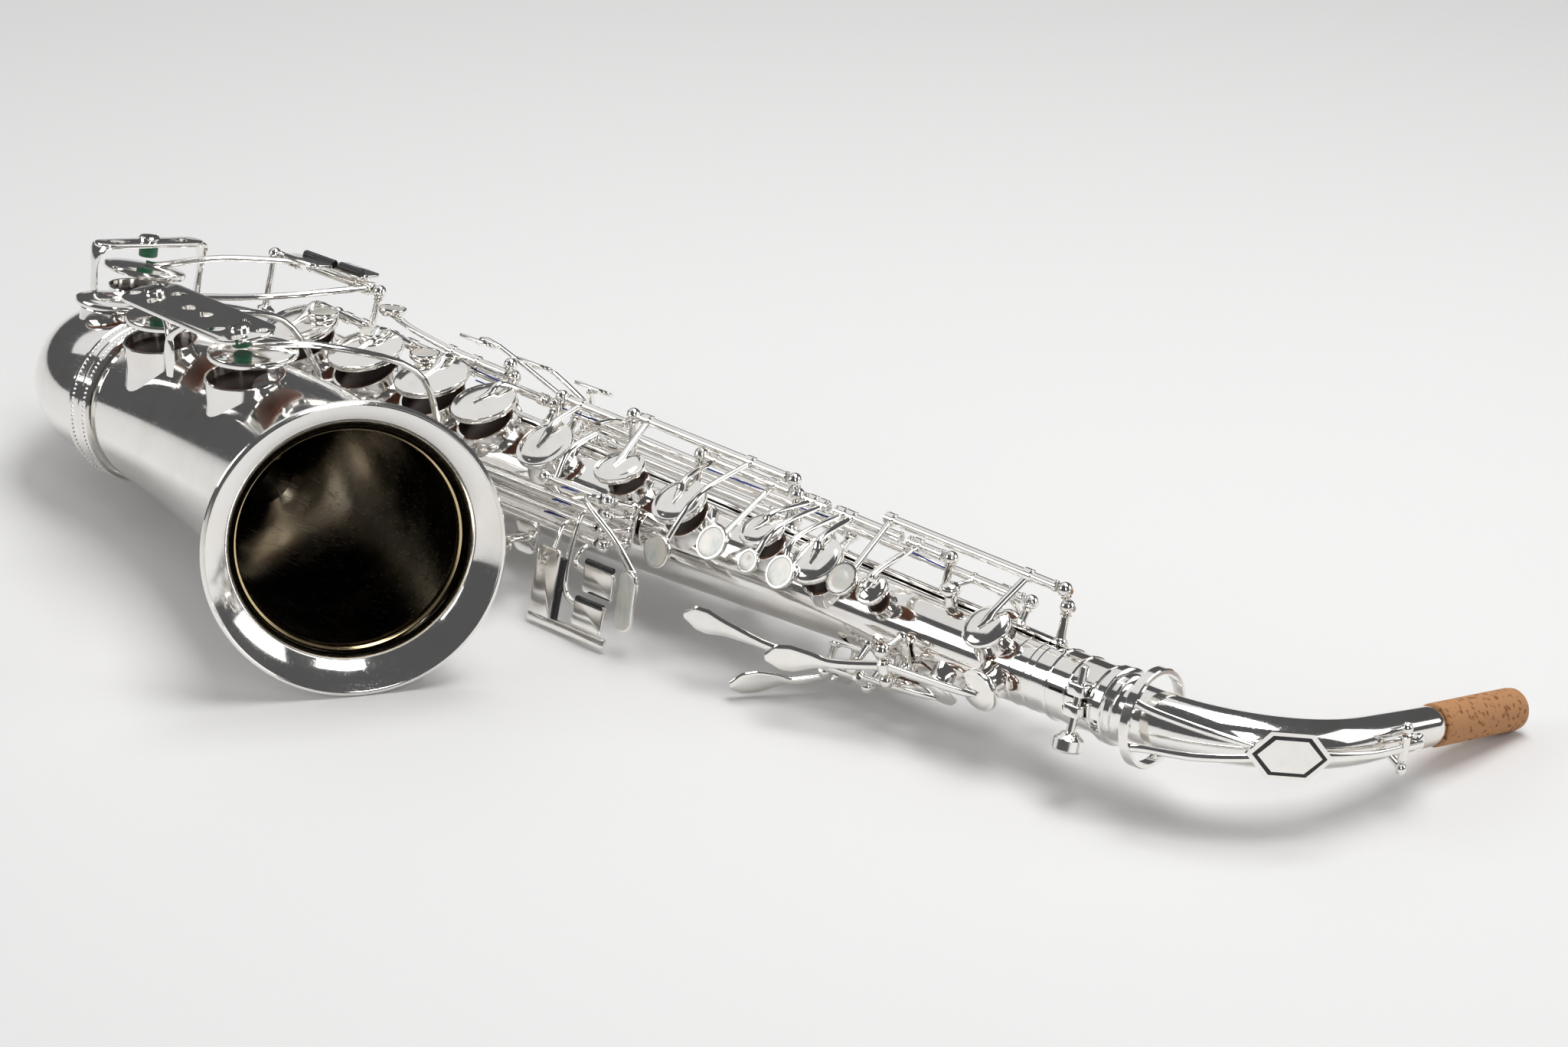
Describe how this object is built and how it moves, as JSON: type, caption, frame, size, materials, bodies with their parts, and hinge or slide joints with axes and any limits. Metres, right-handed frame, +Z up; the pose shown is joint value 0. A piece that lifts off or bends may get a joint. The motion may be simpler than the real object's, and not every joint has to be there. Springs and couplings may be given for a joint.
{
  "type": "saxophone",
  "caption": "Silver alto-pattern saxophone lying on its side: conical body, U-shaped bow, flared bell, curved corked neck, hinged padded keys with pearl touches and guards.",
  "frame": {"origin": "centre of the bounding box's base: the table the horn lies on", "axes": "+X along the horn from the bow towards the neck, +Y towards the body side away from the bell, +Z up from the table"},
  "size_m": [0.668, 0.3572, 0.1217],
  "materials": {
    "body_silver": "polished silver plate",
    "bell_silver": "polished silver plate, satin inside",
    "key_silver": "polished silver plate",
    "screw_silver": "polished silver plate",
    "cork": "natural cork",
    "pads": "waxed leather",
    "pearl": "mother-of-pearl",
    "felts": "wool felt",
    "rollers": "polished black",
    "springs": "blued steel",
    "key_corks": "sheet cork"
  },
  "bodies": {
    "horn": {"body_tube": "body_silver", "bow": "body_silver", "bell": "bell_silver", "body_bow_ferrule": "body_silver", "bell_bow_ferrule": "body_silver", "neck_receiver": "body_silver", "stack_rib": "body_silver", "lower_stack_rib": "body_silver", "high_e_post": "body_silver", "side_c_post": "body_silver", "side_b_flat_post": "body_silver", "side_key_rib": "body_silver", "palm_f_posts": "body_silver", "palm_e_flat_posts": "body_silver", "palm_d_posts": "body_silver", "thumb_lever_posts": "body_silver", "table_posts": "body_silver", "g_sharp_lever_post": "body_silver", "low_b_post": "body_silver", "low_b_flat_post": "body_silver", "low_c_sharp_post": "body_silver", "bow_key_body_post": "body_silver", "bow_key_bow_post": "body_silver", "bell_brace": "body_silver", "thumb_hook": "body_silver", "thumb_rest": "body_silver", "strap_ring": "body_silver", "bell_key_guard": "body_silver", "low_c_guard": "body_silver", "bow_guard_plate": "body_silver"},
    "neck": {"neck_tube": "body_silver", "neck_cork": "cork"},
    "c_vent": {"c_vent_key": "key_silver"},
    "b": {"b_key": "key_silver"},
    "bis": {"bis_key": "key_silver"},
    "a": {"a_key": "key_silver"},
    "g_sharp": {"g_sharp_key": "key_silver"},
    "front_f": {"front_f_key": "key_silver"},
    "g": {"g_key": "key_silver"},
    "trill": {"trill_key": "key_silver"},
    "f_sharp": {"f_sharp_key": "key_silver"},
    "f": {"f_key": "key_silver"},
    "e": {"e_key": "key_silver"},
    "d": {"d_key": "key_silver"},
    "high_e": {"high_e_key": "key_silver"},
    "side_c": {"side_c_key": "key_silver"},
    "side_b_flat": {"side_b_flat_key": "key_silver"},
    "palm_f": {"palm_f_key": "key_silver"},
    "palm_e_flat": {"palm_e_flat_key": "key_silver"},
    "palm_d": {"palm_d_key": "key_silver"},
    "low_c": {"low_c_key": "key_silver"},
    "e_flat": {"e_flat_key": "key_silver"},
    "low_b": {"low_b_key": "key_silver"},
    "low_b_flat": {"low_b_flat_key": "key_silver"},
    "low_c_sharp": {"low_c_sharp_key": "key_silver"},
    "g_sharp_lever": {"g_sharp_lever": "key_silver"},
    "thumb_octave": {"thumb_octave_key": "key_silver"},
    "body_octave_vent": {"body_octave_vent_key": "key_silver"},
    "neck_octave": {"neck_octave_key": "key_silver"},
    "neck_clamp_screw": {"neck_clamp_screw": "screw_silver"}
  },
  "joints": [
    {"name": "neck_swivel", "type": "hinge", "parent": "horn", "child": "neck", "pos_m": [0.24523, 0.02285, 0.0365], "axis": [0.9999, 0.0026, 0.0137], "range_deg": [-25, 25]},
    {"name": "c_vent_turn", "type": "hinge", "parent": "horn", "child": "c_vent", "pos_m": [0.1268, 0.0313, 0.06491], "axis": [0.9999, -0.003, -0.0157], "range_deg": [0, 10.73], "stiffness_Nm_per_rad": 0.012, "springref_deg": -28.65},
    {"name": "b_turn", "type": "hinge", "parent": "horn", "child": "b", "pos_m": [0.08579, 0.03143, 0.06556], "axis": [0.9999, -0.003, -0.0157], "range_deg": [0, 11.22], "stiffness_Nm_per_rad": 0.015, "springref_deg": -28.65},
    {"name": "bis_turn", "type": "hinge", "parent": "horn", "child": "bis", "pos_m": [0.06778, 0.03148, 0.06584], "axis": [0.9999, -0.003, -0.0157], "range_deg": [0, 12.21], "stiffness_Nm_per_rad": 0.012, "springref_deg": -28.65},
    {"name": "a_turn", "type": "hinge", "parent": "horn", "child": "a", "pos_m": [0.01077, 0.03165, 0.06674], "axis": [0.9999, -0.003, -0.0157], "range_deg": [0, 11.06], "stiffness_Nm_per_rad": 0.0167, "springref_deg": -28.65},
    {"name": "g_sharp_turn", "type": "hinge", "parent": "horn", "child": "g_sharp", "pos_m": [-0.07526, 0.03191, 0.0681], "axis": [-0.9999, 0.003, 0.0157], "range_deg": [0, 11.02], "stiffness_Nm_per_rad": 0.0123, "springref_deg": -28.65},
    {"name": "front_f_turn", "type": "hinge", "parent": "horn", "child": "front_f", "pos_m": [0.11571, 0.02964, 0.07222], "axis": [-0.9999, 0.002, 0.0103], "range_deg": [0, 10.93], "stiffness_Nm_per_rad": 0.012, "springref_deg": -28.65},
    {"name": "g_turn", "type": "hinge", "parent": "horn", "child": "g", "pos_m": [-0.02833, 0.02992, 0.07371], "axis": [0.9999, -0.002, -0.0103], "range_deg": [0, 11.85], "stiffness_Nm_per_rad": 0.0156, "springref_deg": -28.65},
    {"name": "trill_turn", "type": "hinge", "parent": "horn", "child": "trill", "pos_m": [-0.15329, 0.03214, 0.06932], "axis": [0.9999, -0.003, -0.0157], "range_deg": [0, 5.23], "stiffness_Nm_per_rad": 0.012, "springref_deg": -28.65},
    {"name": "f_sharp_turn", "type": "hinge", "parent": "horn", "child": "f_sharp", "pos_m": [-0.12116, 0.04073, 0.05862], "axis": [0.9999, -0.0136, -0.0097], "range_deg": [0, 10.37], "stiffness_Nm_per_rad": 0.0181, "springref_deg": -28.65},
    {"name": "f_turn", "type": "hinge", "parent": "horn", "child": "f", "pos_m": [-0.15917, 0.04125, 0.05898], "axis": [0.9999, -0.0136, -0.0097], "range_deg": [0, 10.67], "stiffness_Nm_per_rad": 0.025, "springref_deg": -28.65},
    {"name": "e_turn", "type": "hinge", "parent": "horn", "child": "e", "pos_m": [-0.19918, 0.04179, 0.05937], "axis": [0.9999, -0.0136, -0.0097], "range_deg": [0, 10.27], "stiffness_Nm_per_rad": 0.0263, "springref_deg": -28.65},
    {"name": "d_turn", "type": "hinge", "parent": "horn", "child": "d", "pos_m": [-0.23919, 0.04234, 0.05976], "axis": [0.9999, -0.0136, -0.0097], "range_deg": [0, 9.89], "stiffness_Nm_per_rad": 0.0278, "springref_deg": -28.65},
    {"name": "high_e_turn", "type": "hinge", "parent": "horn", "child": "high_e", "pos_m": [-0.07913, 0.0443, 0.05616], "axis": [0.9998, -0.0167, -0.0072], "range_deg": [0, 10.65], "stiffness_Nm_per_rad": 0.012, "springref_deg": -28.65},
    {"name": "side_c_turn", "type": "hinge", "parent": "horn", "child": "side_c", "pos_m": [-0.07906, 0.04978, 0.04957], "axis": [0.9998, -0.0215, -0.0015], "range_deg": [0, 9.53], "stiffness_Nm_per_rad": 0.012, "springref_deg": -28.65},
    {"name": "side_b_flat_turn", "type": "hinge", "parent": "horn", "child": "side_b_flat", "pos_m": [-0.07896, 0.05336, 0.04179], "axis": [0.9997, -0.0246, 0.0053], "range_deg": [0, 9.16], "stiffness_Nm_per_rad": 0.012, "springref_deg": -28.65},
    {"name": "palm_f_turn", "type": "hinge", "parent": "horn", "child": "palm_f", "pos_m": [0.14934, -0.00585, 0.033], "axis": [0.0129, 0.1949, -0.9807], "range_deg": [0, 6.37], "stiffness_Nm_per_rad": 0.012, "springref_deg": -28.65},
    {"name": "palm_e_flat_turn", "type": "hinge", "parent": "horn", "child": "palm_e_flat", "pos_m": [0.1315, -0.00247, 0.02019], "axis": [0.0093, 0.6052, -0.796], "range_deg": [0, 7.52], "stiffness_Nm_per_rad": 0.012, "springref_deg": -28.65},
    {"name": "palm_d_turn", "type": "hinge", "parent": "horn", "child": "palm_d", "pos_m": [0.10962, 0.00533, 0.01044], "axis": [0.0043, 0.8766, -0.4811], "range_deg": [0, 7.93], "stiffness_Nm_per_rad": 0.012, "springref_deg": -28.65},
    {"name": "low_c_turn", "type": "hinge", "parent": "horn", "child": "low_c", "pos_m": [-0.27845, 0.03905, 0.07892], "axis": [0.9999, 0.0026, 0.0137], "range_deg": [0, 5.85], "stiffness_Nm_per_rad": 0.0574, "springref_deg": -28.65},
    {"name": "e_flat_turn", "type": "hinge", "parent": "horn", "child": "e_flat", "pos_m": [-0.25745, 0.03911, 0.0792], "axis": [-0.9999, -0.0026, -0.0137], "range_deg": [0, 3.09], "stiffness_Nm_per_rad": 0.0873, "springref_deg": -28.65},
    {"name": "low_b_turn", "type": "hinge", "parent": "horn", "child": "low_b", "pos_m": [-0.18685, -0.01064, 0.04507], "axis": [0.9999, 0.0026, 0.0137], "range_deg": [0, 5.58], "stiffness_Nm_per_rad": 0.0802, "springref_deg": -28.65},
    {"name": "low_b_flat_turn", "type": "hinge", "parent": "horn", "child": "low_b_flat", "pos_m": [-0.09977, -0.01159, 0.04008], "axis": [0.9999, 0.0026, 0.0137], "range_deg": [0, 4.53], "stiffness_Nm_per_rad": 0.113, "springref_deg": -28.65},
    {"name": "low_c_sharp_turn", "type": "hinge", "parent": "horn", "child": "low_c_sharp", "pos_m": [-0.18867, -0.01251, 0.03257], "axis": [0.9999, 0.0026, 0.0137], "range_deg": [0, 8.64], "stiffness_Nm_per_rad": 0.0251, "springref_deg": -28.65},
    {"name": "g_sharp_lever_turn", "type": "hinge", "parent": "horn", "child": "g_sharp_lever", "pos_m": [-0.04095, -0.00859, 0.05317], "axis": [0.9999, 0.0026, 0.0137], "range_deg": [0, 5], "stiffness_Nm_per_rad": 0.012, "springref_deg": -28.65},
    {"name": "thumb_octave_turn", "type": "hinge", "parent": "horn", "child": "thumb_octave", "pos_m": [0.19338, 0.04537, 0.02056], "axis": [-0.0134, 0.4502, 0.8928], "range_deg": [0, 2.48], "stiffness_Nm_per_rad": 0.012, "springref_deg": -28.65},
    {"name": "body_octave_vent_turn", "type": "hinge", "parent": "horn", "child": "body_octave_vent", "pos_m": [0.16088, 0.03184, 0.05965], "axis": [-0.9999, 0.0075, 0.0129], "range_deg": [0, 12.75], "stiffness_Nm_per_rad": 0.012, "springref_deg": -28.65},
    {"name": "neck_octave_turn", "type": "hinge", "parent": "neck", "child": "neck_octave", "pos_m": [0.33145, 0.08964, 0.02504], "axis": [0.014, -0.1867, -0.9823], "range_deg": [0, 2.7], "stiffness_Nm_per_rad": 0.0438, "springref_deg": -28.65},
    {"name": "neck_clamp_turn", "type": "hinge", "parent": "horn", "child": "neck_clamp_screw", "pos_m": [0.23939, 0.0034, 0.0279], "axis": [-0.0139, 0.294, 0.9557], "range_deg": [0, 180]}
  ],
  "couplings": [
    {"joint": "c_vent_turn", "follows": "b_turn", "ratio": 0.956},
    {"joint": "f_sharp_turn", "follows": "f_turn", "ratio": 0.971},
    {"joint": "g_sharp_turn", "follows": "g_sharp_lever_turn", "ratio": 2.204},
    {"joint": "neck_octave_turn", "follows": "thumb_octave_turn", "ratio": 1}
  ]
}
